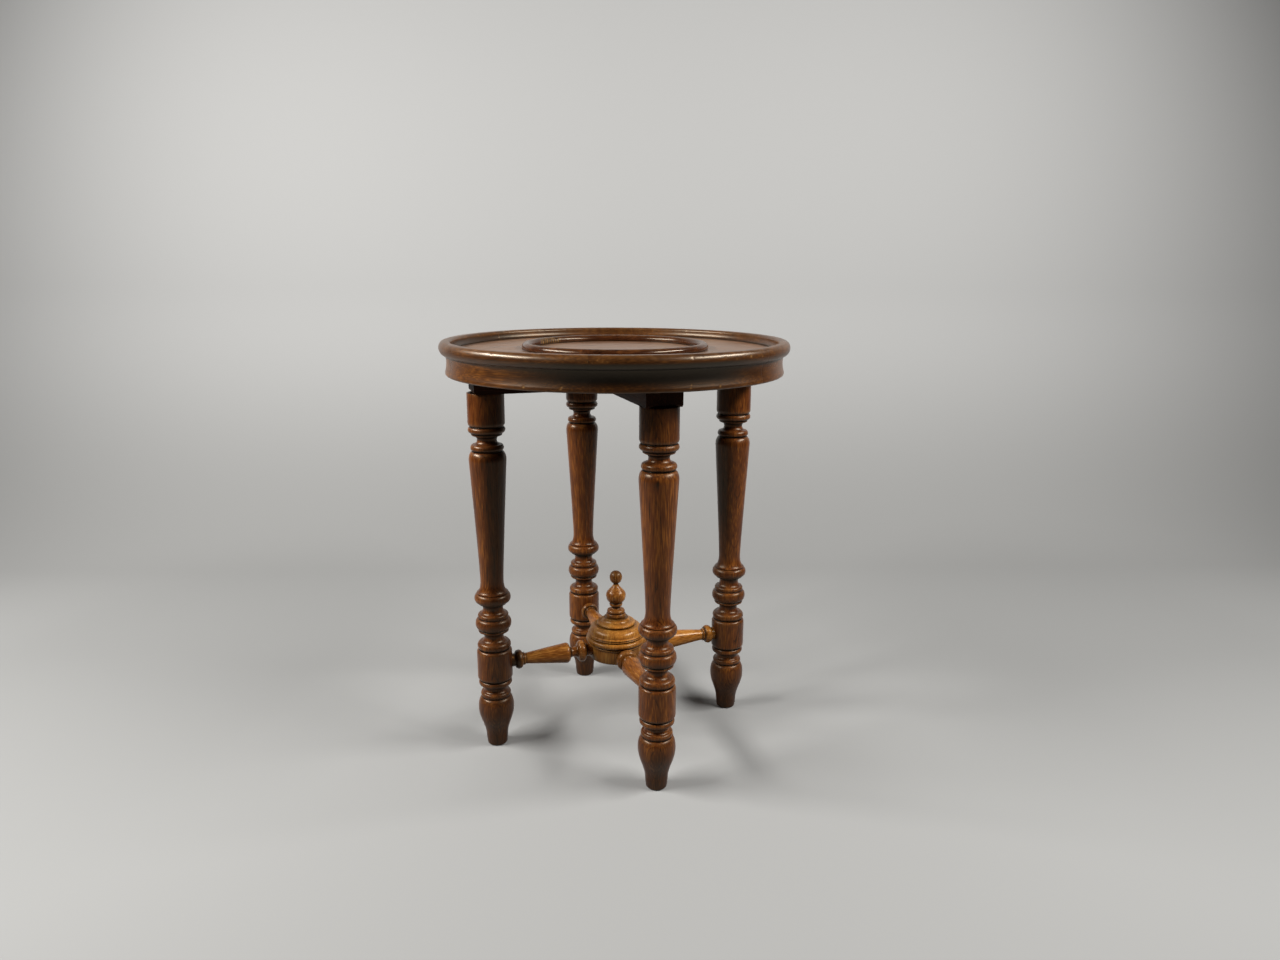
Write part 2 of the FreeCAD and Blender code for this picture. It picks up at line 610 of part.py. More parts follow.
def rim_segment(number):
    """One segment of the moulded rim, grooved inside for the tongue of the boards."""
    inner = RIM_INNER_RADIUS
    low = FIELD - RIM_DROP
    crest = FIELD + RIM_RISE
    fascia = TOP_RADIUS - FASCIA_SETBACK
    nosing = FIELD + NOSING_LINE
    hollow_foot = point(fascia, low + FASCIA_FILLET)
    hollow_top = point(TOP_RADIUS - NOSING_RETURN, nosing - NOSING_HEIGHT)
    hollow_middle = point(fascia - HOLLOW_DEPTH, (hollow_foot.z + hollow_top.z) / 2)
    widest = point(TOP_RADIUS, nosing)
    crest_outer = point(TOP_RADIUS - CREST_SETBACK, crest)
    crest_inner = point(crest_outer.x - CREST_WIDTH, crest)
    wall_top = point(crest_inner.x - CREST_INNER_ROUND, crest - CREST_INNER_ROUND)
    cove_foot = point(inner + COVE_FOOT_WIDTH, FIELD + COVE_FOOT_RISE)
    groove = inner + EDGE_TONGUE_DEPTH + TIP_GAP
    lower = [
        point(inner, low),
        point(fascia - RIM_ARRIS, low),
        point(fascia, low + RIM_ARRIS),
        hollow_foot,
    ]
    inside = [
        cove_foot,
        point(inner, cove_foot.z),
        point(inner, EDGE_TONGUE_HIGH),
        point(groove, EDGE_TONGUE_HIGH),
        point(groove, EDGE_TONGUE_LOW),
        point(inner, EDGE_TONGUE_LOW),
        point(inner, low),
    ]
    edges = [line(a, b) for a, b in zip(lower, lower[1:])]
    edges.append(Part.Arc(hollow_foot, hollow_middle, hollow_top).toShape())
    edges.append(quarter_round(hollow_top, widest, point(widest.x, hollow_top.z)))
    edges.append(quarter_round(widest, crest_outer, point(widest.x, crest)))
    edges.append(line(crest_outer, crest_inner))
    edges.append(quarter_round(crest_inner, wall_top, point(wall_top.x, crest)))
    edges.append(quarter_round(wall_top, cove_foot, point(wall_top.x, cove_foot.z)))
    edges += [line(a, b) for a, b in zip(inside, inside[1:])]
    sweep = 360.0 / RIM_SEGMENTS
    return turned_about_z(revolved(edges, sweep), RIM_JOINT_ANGLE + number * sweep)


def bottle_ring():
    """The raised ring with rounded shoulders, let a little way into the boards."""
    outer = RING_OUTER_RADIUS
    inner = RING_OUTER_RADIUS - RING_WIDTH
    low = FIELD - RING_SEAT_DEPTH
    shoulder = FIELD + RING_SIDE_RISE
    crest = point((outer + inner) / 2, FIELD + RING_RISE)
    edges = [
        line(point(inner, low), point(outer, low)),
        line(point(outer, low), point(outer, shoulder)),
        quarter_round(point(outer, shoulder), crest, point(outer, crest.z)),
        quarter_round(crest, point(inner, shoulder), point(inner, crest.z)),
        line(point(inner, shoulder), point(inner, low)),
    ]
    return revolved(edges)


def slotted(screw):
    """The screw with the slot cut across its head."""
    half = SCREW_SLOT_WIDTH / 2
    slot = block(
        FreeCAD.Vector(-SCREW_HEAD_RADIUS, -half, LEG_TOP),
        FreeCAD.Vector(SCREW_HEAD_RADIUS, half, LEG_TOP + SCREW_SLOT_DEPTH),
    )
    return screw.cut(slot)


def cut_all(shape, tools):
    for tool in tools:
        shape = shape.cut(tool)
    return shape


def make_pieces():
    pieces = {}
    leg, wedge = leg_and_wedge()
    stretcher = spindle()
    for quarter, side in enumerate(SIDE_NAMES):
        pieces["leg_" + side] = turned_about_z(leg, 90 * quarter)
        pieces["spindle_" + side] = turned_about_z(stretcher, 90 * quarter)
    quarters = range(len(SIDE_NAMES))
    pieces["leg_wedges"] = Part.makeCompound([turned_about_z(wedge, 90 * q) for q in quarters])

    hub, hub_top = hub_and_top()
    pieces["hub"] = hub
    pieces["finial"] = finial(hub_top)

    places = screw_places()
    screw = screw_on_axis(SCREW_RADIUS)
    pilots = placed_at(screw, places)
    clearances = placed_at(screw_on_axis(SCREW_RADIUS + SCREW_CLEARANCE), places)
    pieces["bearer_screws"] = Part.makeCompound(placed_at(slotted(screw), places))
    pieces["bearer_side_to_side"] = cut_all(bearer(1), clearances)
    pieces["bearer_front_to_back"] = cut_all(turned_about_z(bearer(-1), 90), clearances)

    for number, board in enumerate(boards(), 1):
        pieces[f"top_board_{number}"] = cut_all(board, pilots)
    for number in range(RIM_SEGMENTS):
        pieces[f"rim_segment_{number + 1}"] = rim_segment(number)
    pieces["bottle_ring"] = bottle_ring()
    return pieces


os.makedirs("parts", exist_ok=True)
for name, shape in make_pieces().items():
    shape.exportStep(f"parts/{name}.step")
    print(name, len(shape.Solids), shape.isValid(), round(shape.Volume))
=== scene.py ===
import math
import random

import bmesh
import bpy
from mathutils import Matrix, Vector, geometry, kdtree, noise


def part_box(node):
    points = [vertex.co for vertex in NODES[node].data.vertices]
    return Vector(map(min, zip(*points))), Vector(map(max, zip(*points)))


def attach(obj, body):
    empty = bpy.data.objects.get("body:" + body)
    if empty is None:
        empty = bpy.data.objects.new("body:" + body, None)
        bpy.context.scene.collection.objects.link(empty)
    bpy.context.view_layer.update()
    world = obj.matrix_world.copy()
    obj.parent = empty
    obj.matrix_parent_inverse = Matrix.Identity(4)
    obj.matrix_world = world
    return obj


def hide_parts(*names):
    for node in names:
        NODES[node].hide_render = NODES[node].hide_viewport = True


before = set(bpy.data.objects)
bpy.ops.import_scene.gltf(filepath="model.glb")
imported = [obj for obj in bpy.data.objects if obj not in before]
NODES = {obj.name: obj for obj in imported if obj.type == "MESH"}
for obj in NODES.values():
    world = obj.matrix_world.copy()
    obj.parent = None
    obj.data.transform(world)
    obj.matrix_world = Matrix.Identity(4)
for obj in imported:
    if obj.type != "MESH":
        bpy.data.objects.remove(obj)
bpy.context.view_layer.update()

# A round oak wine table, old and dark: a rimmed tray with a raised bottle ring on four turned legs,
# tied low down by turned spindles to a hub with a finial. The turned and moulded pieces are made anew
# from the outlines of the CAD solids, with worn edges, shrinkage and knocks. Lengths are in metres.

MM = 0.001
UP = Vector((0, 0, 1))
SIDES = {
    "right": Vector((1, 0, 0)),
    "back": Vector((0, 1, 0)),
    "left": Vector((-1, 0, 0)),
    "front": Vector((0, -1, 0)),
}
RIM_SEGMENTS = [f"rim_segment_{number}" for number in range(1, 7)]
BOARDS = [f"top_board_{number}" for number in range(1, 4)]
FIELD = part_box("top_board_1")[1].z

# Camera, where the photograph was taken from
CAMERA_PLACE = Vector((-389.8, -1264.3, 716.4)) * MM
CAMERA_HEADING = -18.73
CAMERA_DIP = 13.4
CAMERA_ROLL = 0.21
CAMERA_LENS = 25.34
CAMERA_SENSOR = 36.0
TOWARDS_CAMERA = Vector((CAMERA_PLACE.x, CAMERA_PLACE.y, 0)).normalized()

# Soft lamps: degrees to the right of the line from the table to the camera, degrees up, watts
SOFTBOXES = {"left_softbox": (-78, 36, 49), "right_softbox": (74, 40, 41)}
SOFTBOX_AIM = Vector((0, 0, 0.33))
SOFTBOX_DISTANCE = 2.0
SOFTBOX_WIDTH = 1.2
SOFTBOX_HEIGHT = 0.26

# Weak light all round: it falls from one level to the other over this span towards the camera
WORLD_COLOUR = "#f4f5f7"
WORLD_LEVEL = 0.08
CAMERA_SIDE_LEVEL = 0.02
CAMERA_SIDE_SPAN = (-0.3, 0.6)

# Studio floor and wall
FLOOR_COLOUR = "#a8a7a4"
WALL_COLOUR = "#d1d0cd"
BOUNCE_COLOUR = "#555453"
MATT_ROUGHNESS = 0.9
FLOOR_REACH = 6.0
WALL_DISTANCE = 1.4
WALL_HEIGHT = 4.0
WALL_COVE = 0.65
COVE_STEPS = 32

# Reading outlines from the CAD solids: their rounding, and how squarely a point has to lie on the clear side
LEVEL = 0.002 * MM
SAME_PLACE = 5 * LEVEL
CLEAR_SHARE = math.cos(math.radians(20))
EVERY_SIDE = -1.0
OUTLINE_TOLERANCE = 0.012 * MM
LONGEST_RUN = 2.5 * MM

# Arrises that years of hands have rounded, and the angle past which an edge still looks sharp
ARRIS_EASE = 0.25 * MM
ARRIS_STEPS = 2
CORNER_ANGLE = math.radians(24)
SHARP_ANGLE = math.radians(48)

# Grime and painted shade in the grooves of a turning, more under a bead, where shade falls, than over it
GRIME_AND_SHADE_REACH = 2.5 * MM
GRIME_AND_SHADE_DEPTH = 1.2 * MM
GRIME_AND_SHADE_UNDER = 0.42
GRIME_AND_SHADE_OVER = 0.08

# Darker colour at the ends of a turning, and how far it reaches from the foot and from the top; at the heads
# of the legs it is painted shade under the tray
END_DARKENING = 0.75
LEG_DARK_ENDS = {
    "right": (100 * MM, 24 * MM),
    "back": (100 * MM, 125 * MM),
    "left": (100 * MM, 24 * MM),
    "front": (100 * MM, 125 * MM),
}
SPINDLE_DARK_ENDS = {
    "right": (36 * MM, 44 * MM),
    "back": (64 * MM, 76 * MM),
    "left": (20 * MM, 46 * MM),
    "front": (64 * MM, 76 * MM),
}
SPINDLE_END_DARKENING = {"right": END_DARKENING, "back": END_DARKENING, "left": 2.4, "front": END_DARKENING}
# Most grime and painted shade on the spindles and on the hub
SPINDLE_MOST_GRIME_AND_SHADE = 0.9
HUB_DARK_ENDS = (42 * MM, MM)
HUB_MOST_GRIME_AND_SHADE = 0.75
FINIAL_DARK_ENDS = (48 * MM, 22 * MM)

# Painted shade on one side of the left and right legs and of the hub, with their bearings
SHADED_SIDE_SPAN = (-0.2, 0.7)
PAINTED_SIDE_SHADE = 0.6
LEG_SHADED_BEARING = {"right": 165, "left": -35}
HUB_SHADED_BEARING = 163

# Wear on what stands proud of its surroundings
WEAR_REACH = 4.0 * MM
WEAR_HEIGHT = 1.2 * MM

# Old turnings dry a little oval, and the gouge leaves a faint ripple
OVAL_SHARE = 0.006
RIPPLE = 0.10 * MM
RIPPLE_LENGTH = 24.0 * MM

# Knocks
KNOCK_SIZES = (1.2 * MM, 3.0 * MM)
KNOCK_STEEPNESS = 0.12
KNOCKED_WEAR = 0.35
KNOCK_LIGHTS = (0.5, 2.0)
LEG_KNOCKS = 24
SMALL_TURNING_KNOCKS = 6
RIM_KNOCKS = 40

# Steps round each turning, and the seeds of its ripple and knocks
LEG_STEPS = 96
SPINDLE_STEPS = 72
HUB_STEPS = 128
FINIAL_STEPS = 72
LEG_SEED = 1
SPINDLE_SEED = 5
HUB_SEED = 9
FINIAL_SEED = 10
RIM_SEED = 11


def smooth_step(value, start, end):
    """Rises smoothly from 0 at the start to 1 at the end."""
    share = min(max((value - start) / (end - start), 0.0), 1.0)
    return share * share * (3 - 2 * share)


def bearing(degrees):
    """The level direction at this bearing, counted to the left from the right leg."""
    return Matrix.Rotation(math.radians(degrees), 3, "Z") @ SIDES["right"]


def angle_of(place):
    """The bearing of a place, in radians."""
    return math.atan2(place.y, place.x)


def turn_between(angle, start):
    """The shorter turn from one angle to another."""
    return (angle - start + math.pi) % math.tau - math.pi


def middle_of(node):
    """The middle of a CAD node's box."""
    low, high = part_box(node)
    return (low + high) / 2


def srgb(colour):
    """A hex colour as linear red, green, blue and alpha."""
    channels = [int(colour[start:start + 2], 16) / 255 for start in (1, 3, 5)]
    return [c / 12.92 if c <= 0.04045 else ((c + 0.055) / 1.055) ** 2.4 for c in channels] + [1.0]


def add(tree, kind, inputs=None, **settings):
    """Adds a node with its settings; an input is a value or another node's socket."""
    made = tree.nodes.new("ShaderNode" + kind)
    for name, value in settings.items():
        setattr(made, name, value)
    for key, value in (inputs or {}).items():
        if isinstance(value, bpy.types.NodeSocket):
            tree.links.new(value, made.inputs[key])
        else:
            made.inputs[key].default_value = value
    return made


def new_material(name):
    """An empty material, its node tree and its shader."""
    material = bpy.data.materials.new(name)
    material.use_nodes = True
    tree = material.node_tree
    return material, tree, tree.nodes["Principled BSDF"]


# Socket numbers of a Mix node's colours, which share their names with sockets of its other kinds
MIX_FIRST = 6
MIX_SECOND = 7
MIX_RESULT = 2

# Wave texture rings are this far apart, in coordinate units, at a scale of 1
WAVE_PERIOD = math.pi / 10

# Stained oak, each from its pores to its lightest streaks, and what age and painted shade put on it
LEG_TONES = ("#120602", "#391a09", "#633212", "#955822")
HONEY_TONES = ("#2a1203", "#5a2e0e", "#864d1c", "#ba7c38")
# Lighter honey oak for the hub and the right spindle: partly lighter wood, partly painted light where the
# lamps fall
LIGHTER_AND_LIT_HONEY_TONES = ("#2f1503", "#7a4415", "#b8742c", "#e0a452")
RIM_TONES = ("#140a03", "#351c09", "#562f10", "#7a491b")
RING_TONES = ("#0e0603", "#261208", "#40200e", "#62381a")
BOARD_TONES = ("#2c1b10", "#5b3f2b", "#79573f", "#946f54")
RAW_TONES = ("#120705", "#23110b", "#331b12", "#46281b")
# Colour of grime, and of the painted shade that is laid on with it
GRIME_AND_SHADE_COLOUR = "#0a0503"
WORN_COLOUR = "#9c7444"

# Shellac varnish: its warm reflections, and its roughness where it lies thick and where it is thin
SHELLAC_TINT = "#ffe9cb"
SHELLAC_IOR = 1.5
LEG_GLOSS = (0.25, 0.34)
POLISHED_GLOSS = (0.22, 0.3)
RIM_GLOSS = (0.24, 0.34)
RING_GLOSS = (0.18, 0.28)
BOARD_GLOSS = (0.26, 0.38)
RAW_GLOSS = (0.5, 0.65)
GRIME_DULLNESS = 0.1

# How strongly each varnish reflects
POLISHED_SHINE = 0.32
LEG_SHINE = 0.37
RIM_SHINE = 0.6
RING_SHINE = 0.4
BOARD_SHINE = 0.65
BEARER_SHINE = 0.12

# How plainly the growth rings show, and how light the wood is worn
PLAIN_FIGURE = 0.6
SPINDLE_FIGURE = 0.3
RIM_FIGURE = 0.2
FAINT_FIGURE = 0.1
PLAIN_WEAR = 0.22
RIM_WEAR = 0.25

# Patterns of oak in millimetres, across the grain or across and along it
RING_SPACING = 2.2
RING_DRIFT = 5
DRIFT_LENGTH = 36
RING_GAP_LENGTH = 9
CLOUD_LENGTH = 30
WORN_PATCH = 9
PORE_SIZE = (1.5, 16)
FIBRE_SIZE = (1.7, 24)
STREAK_SIZE = (11, 120)

# Slow patterns change this much as fast along the grain as across it
SLOW_ALONG = 0.2

# Share of a ring that is porous, how strongly pores show in the rest of it, and the least of a broken ring
POROUS_SHARE = 0.4
LEAST_PORES = 0.25
LEAST_RING = 0.1

# Relief of pores and fibres: its depth in millimetres and its strength
GRAIN_RELIEF = 0.1
RELIEF_STRENGTH = 0.35

# Shares of the patterns in the tone of the wood, the rings' for a full figure
TONE_START = -0.5
FIBRE_TONE = 1.1
STREAK_TONE = 0.45
CLOUD_TONE = 0.55
RING_TONE = -0.4

# Noise values between which each pattern rises to its full strength, and the varnish gets thin
PORE_SPAN = (0.5, 0.66)
RING_GAP_SPAN = (0.35, 0.6)
MIDDLE_TONE_SPAN = (0.15, 0.5)
LIGHT_TONE_SPAN = (0.5, 0.85)
WORN_PATCH_SPAN = (0.35, 0.75)
VARNISH_SPAN = (0.3, 0.7)


def streaks(tree, wood, size, detail):
    """Streaks of this width and length that run along the grain."""
    width, length = size
    drawn_out = add(tree, "VectorMath", {
        0: wood,
        1: (1 / width, 1 / width, 1 / length),
    }, operation="MULTIPLY").outputs[0]
    return add(tree, "TexNoise", {"Vector": drawn_out, "Scale": 1.0, "Detail": detail}).outputs["Fac"]


def porous_rings(tree, wood, slow):
    """Growth rings, near 1 in the open-pored wood that starts each, and broken off here and there."""
    drift = add(tree, "TexNoise", {"Vector": slow, "Scale": 1 / DRIFT_LENGTH, "Detail": 2.0}).outputs["Color"]
    drift = add(tree, "VectorMath", {0: drift, 1: (0.5, 0.5, 0.5)}, operation="SUBTRACT").outputs[0]
    bent = add(tree, "VectorMath", {
        0: drift,
        1: (RING_DRIFT, RING_DRIFT, 0),
        2: wood,
    }, operation="MULTIPLY_ADD").outputs[0]
    rings = add(tree, "TexWave", {
        "Vector": bent,
        "Scale": WAVE_PERIOD / RING_SPACING,
        "Distortion": 0.0,
    }, wave_type="RINGS", rings_direction="Z", wave_profile="SAW").outputs["Fac"]
    porous = add(tree, "MapRange", {
        "Value": rings,
        "From Max": POROUS_SHARE,
        "To Min": 1.0,
        "To Max": 0.0,
    }, interpolation_type="SMOOTHSTEP").outputs["Result"]
    gaps = add(tree, "TexNoise", {"Vector": slow, "Scale": 1 / RING_GAP_LENGTH, "Detail": 1.0}).outputs["Fac"]
    whole = add(tree, "MapRange", {
        "Value": gaps,
        "From Min": RING_GAP_SPAN[0],
        "From Max": RING_GAP_SPAN[1],
        "To Min": LEAST_RING,
    }).outputs["Result"]
    return add(tree, "Math", {0: porous, 1: whole}, operation="MULTIPLY").outputs[0]


def worn_patches(tree, wood, lightness):
    """Wear from the piece's own attribute, rubbed through in patches."""
    worn = add(tree, "Attribute", attribute_name="wear").outputs["Fac"]
    patchy = add(tree, "TexNoise", {"Vector": wood, "Scale": 1 / WORN_PATCH, "Detail": 3.0}).outputs["Fac"]
    patchy = add(tree, "MapRange", {
        "Value": patchy,
        "From Min": WORN_PATCH_SPAN[0],
        "From Max": WORN_PATCH_SPAN[1],
        "To Max": lightness,
    }).outputs["Result"]
    return add(tree, "Math", {0: worn, 1: patchy}, operation="MULTIPLY", use_clamp=True).outputs[0]


def oak(name, tones, pith, grain, gloss, shine=POLISHED_SHINE, figure=PLAIN_FIGURE, wear=PLAIN_WEAR):
    """Old varnished oak, stained dark. It is ring-porous: each ring starts with a band of open pores that
    takes the stain darkest, and shows as streaks along the grain and as arches where a ring is cut flat.
    Pores are about 0.3 mm wide and fibres finer still: they are drawn 1.5 and 1.7 mm wide, so that they show.
    The pith is a point on the tree's axis and the grain is that axis's direction."""
    material, tree, shader = new_material(name)
    grain = grain.normalized()
    across = grain.orthogonal().normalized()
    turn = Matrix((across, grain.cross(across), grain))
    wood = add(tree, "Mapping", {
        "Vector": add(tree, "TexCoord").outputs["Object"],
        "Scale": (1 / MM, 1 / MM, 1 / MM),
        "Rotation": turn.to_euler(),
        "Location": -(turn @ pith) / MM,
    }).outputs["Vector"]
    slow = add(tree, "VectorMath", {0: wood, 1: (1, 1, SLOW_ALONG)}, operation="MULTIPLY").outputs[0]
    porous = porous_rings(tree, wood, slow)
    cloud = add(tree, "TexNoise", {"Vector": slow, "Scale": 1 / CLOUD_LENGTH, "Detail": 2.0}).outputs["Fac"]
    fibre = streaks(tree, wood, FIBRE_SIZE, 2.0)
    streak = streaks(tree, wood, STREAK_SIZE, 1.0)
    pores = add(tree, "MapRange", {
        "Value": streaks(tree, wood, PORE_SIZE, 1.0),
        "From Min": PORE_SPAN[0],
        "From Max": PORE_SPAN[1],
    }, interpolation_type="SMOOTHSTEP").outputs["Result"]
    strength = add(tree, "Math", {0: porous, 1: figure, 2: LEAST_PORES}, operation="MULTIPLY_ADD").outputs[0]
    pores = add(tree, "Math", {0: pores, 1: strength}, operation="MULTIPLY").outputs[0]

    tone = TONE_START
    shares = ((fibre, FIBRE_TONE), (streak, STREAK_TONE), (cloud, CLOUD_TONE), (porous, RING_TONE * figure))
    for pattern, share in shares:
        tone = add(tree, "Math", {0: pattern, 1: share, 2: tone}, operation="MULTIPLY_ADD").outputs[0]
    low = add(tree, "MapRange", {
        "Value": tone,
        "From Min": MIDDLE_TONE_SPAN[0],
        "From Max": MIDDLE_TONE_SPAN[1],
    }, interpolation_type="SMOOTHSTEP").outputs["Result"]
    high = add(tree, "MapRange", {
        "Value": tone,
        "From Min": LIGHT_TONE_SPAN[0],
        "From Max": LIGHT_TONE_SPAN[1],
    }, interpolation_type="SMOOTHSTEP").outputs["Result"]

    pore_colour, colour, middle, light = [srgb(shade) for shade in tones]
    dirt_and_shade = add(tree, "Attribute", attribute_name="grime_and_shade").outputs["Fac"]
    worn = worn_patches(tree, wood, wear)
    layers = (
        (low, middle),
        (high, light),
        (pores, pore_colour),
        (worn, srgb(WORN_COLOUR)),
        # Last layer: grime, and painted shade in grooves, under mouldings, on shaded sides and under the tray
        (dirt_and_shade, srgb(GRIME_AND_SHADE_COLOUR)),
    )
    for share, layer in layers:
        colour = add(tree, "Mix", {
            "Factor": share,
            MIX_FIRST: colour,
            MIX_SECOND: layer,
        }, data_type="RGBA").outputs[MIX_RESULT]
    tree.links.new(colour, shader.inputs["Base Color"])

    rough = add(tree, "MapRange", {
        "Value": cloud,
        "From Min": VARNISH_SPAN[0],
        "From Max": VARNISH_SPAN[1],
        "To Min": gloss[0],
        "To Max": gloss[1],
    }).outputs["Result"]
    rough = add(tree, "Math", {0: dirt_and_shade, 1: GRIME_DULLNESS, 2: rough}, operation="MULTIPLY_ADD").outputs[0]
    tree.links.new(rough, shader.inputs["Roughness"])
    relief = add(tree, "Math", {0: fibre, 1: pores}, operation="SUBTRACT").outputs[0]
    bump = add(tree, "Bump", {
        "Height": relief,
        "Strength": RELIEF_STRENGTH,
        "Distance": GRAIN_RELIEF * MM,
    }).outputs["Normal"]
    tree.links.new(bump, shader.inputs["Normal"])
    shader.inputs["IOR"].default_value = SHELLAC_IOR
    shader.inputs["Specular IOR Level"].default_value = shine
    shader.inputs["Specular Tint"].default_value = srgb(SHELLAC_TINT)
    return material


# Old screws
STEEL_COLOUR = "#7d7873"
RUST_COLOUR = "#5a3a27"
STEEL_ROUGHNESS = 0.42
RUST_ROUGHNESS = 0.8
STEEL_METALLIC = 0.85
FRECKLE_SIZE = 1.5 * MM
FRECKLE_SPAN = (0.5, 0.65)


def aged_steel():
    """Steel wood screws gone dull brown-grey, with rust freckles."""
    material, tree, shader = new_material("aged_steel")
    freckles = add(tree, "TexNoise", {
        "Vector": add(tree, "TexCoord").outputs["Object"],
        "Scale": 1 / FRECKLE_SIZE,
        "Detail": 4.0,
    }).outputs["Fac"]
    rust = add(tree, "MapRange", {
        "Value": freckles,
        "From Min": FRECKLE_SPAN[0],
        "From Max": FRECKLE_SPAN[1],
    }).outputs["Result"]
    colour = add(tree, "Mix", {
        "Factor": rust,
        MIX_FIRST: srgb(STEEL_COLOUR),
        MIX_SECOND: srgb(RUST_COLOUR),
    }, data_type="RGBA").outputs[MIX_RESULT]
    tree.links.new(colour, shader.inputs["Base Color"])
    rough = add(tree, "MapRange", {
        "Value": rust,
        "To Min": STEEL_ROUGHNESS,
        "To Max": RUST_ROUGHNESS,
    }).outputs["Result"]
    tree.links.new(rough, shader.inputs["Roughness"])
    shader.inputs["Metallic"].default_value = STEEL_METALLIC
    return material


def pale_backdrop():
    """Plain matt paint of the studio floor and wall, lighter on the wall, which gets less light.
    It is pale to the eye and in reflections, and throws back less light than that onto the table."""
    material, tree, shader = new_material("pale_backdrop")
    path = add(tree, "LightPath").outputs
    seen = path["Is Camera Ray"]
    for kind in ("Is Glossy Ray", "Is Transmission Ray"):
        seen = add(tree, "Math", {0: seen, 1: path[kind]}, operation="MAXIMUM").outputs[0]
    height = add(tree, "SeparateXYZ", {0: add(tree, "TexCoord").outputs["Object"]}).outputs["Z"]
    wall = add(tree, "MapRange", {
        "Value": height,
        "From Max": WALL_COVE,
    }, interpolation_type="SMOOTHSTEP").outputs["Result"]
    colour = add(tree, "Mix", {
        "Factor": wall,
        MIX_FIRST: srgb(FLOOR_COLOUR),
        MIX_SECOND: srgb(WALL_COLOUR),
    }, data_type="RGBA").outputs[MIX_RESULT]
    colour = add(tree, "Mix", {
        "Factor": seen,
        MIX_FIRST: srgb(BOUNCE_COLOUR),
        MIX_SECOND: colour,
    }, data_type="RGBA").outputs[MIX_RESULT]
    tree.links.new(colour, shader.inputs["Base Color"])
    shader.inputs["Roughness"].default_value = MATT_ROUGHNESS
    return material


def show(name, node, bm, material):
    """Makes a finished mesh the piece that stands for a CAD node."""
    for face in bm.faces:
        face.smooth = True
    for edge in bm.edges:
        edge.smooth = edge.calc_face_angle(0.0) < SHARP_ANGLE
    mesh = bpy.data.meshes.new(name)
    bm.to_mesh(mesh)
    bm.free()
    mesh.materials.append(material)
    piece = bpy.data.objects.new(name, mesh)
    bpy.context.scene.collection.objects.link(piece)
    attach(piece, "root")
    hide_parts(node)


def thinned(points):
    """The fewest of these points that keep their line within the outline's tolerance."""
    ends = points[0], points[-1]
    worst, at = 0.0, 0
    for index, point in enumerate(points[1:-1], 1):
        nearest, share = geometry.intersect_point_line(point, *ends)
        if share < 0 or share > 1:
            nearest = ends[0] if share < 0 else ends[1]
        gap = (point - nearest).length
        if gap > worst:
            worst, at = gap, index
    if worst < OUTLINE_TOLERANCE:
        return list(ends)
    return thinned(points[:at + 1])[:-1] + thinned(points[at:])


def turned_outline(node, foot, axis, clear_side, clear_share, bore):
    """Half the outline of a turned piece from end to end, as heights and radii.
    It is read on the clear side, where no hole breaks it, and outside the bore."""
    radii_at = {}
    for vertex in NODES[node].data.vertices:
        arm = vertex.co - foot
        height = arm.dot(axis)
        out = arm - height * axis
        if out.length < bore or out.dot(clear_side) < clear_share * out.length:
            continue
        radii_at.setdefault(round(height / LEVEL), set()).add(round(out.length / LEVEL))
    levels = sorted(radii_at)
    outline = [Vector((levels[0] * LEVEL, 0.0))]
    for level in levels:
        radii = sorted(radii_at[level])
        last = outline[-1].y / LEVEL
        if abs(radii[0] - last) > abs(radii[-1] - last):
            radii.reverse()
        outline += [Vector((level, radius)) * LEVEL for radius in radii]
    if outline[-1].y > LEVEL:
        outline.append(Vector((outline[-1].x, 0.0)))
    return outline


def wire(bm, points, closed=False):
    """A line of vertices and edges through the points."""
    vertices = [bm.verts.new(point) for point in points]
    for start, end in zip(vertices, vertices[1:]):
        bm.edges.new((start, end))
    if closed:
        bm.edges.new((vertices[-1], vertices[0]))


def split_long_edges(bm, longest):
    """Splits every edge that is longer than this into equal runs."""
    for edge in [edge for edge in bm.edges if edge.calc_length() > longest]:
        bmesh.ops.subdivide_edges(bm, edges=[edge], cuts=int(edge.calc_length() / longest))


def ease_corners(bm):
    """Rounds the sharp corners of a wire as years of wear do, and splits its long runs."""
    bm.verts.ensure_lookup_table()
    corners = []
    for vertex in bm.verts:
        if len(vertex.link_edges) == 2:
            before, after = [edge.other_vert(vertex).co - vertex.co for edge in vertex.link_edges]
            if math.pi - before.angle(after) > CORNER_ANGLE:
                corners.append(vertex)
    bmesh.ops.bevel(
        bm, geom=corners, affect="VERTICES",
        offset=ARRIS_EASE, segments=ARRIS_STEPS, profile=0.5, material=-1,
    )
    split_long_edges(bm, LONGEST_RUN)


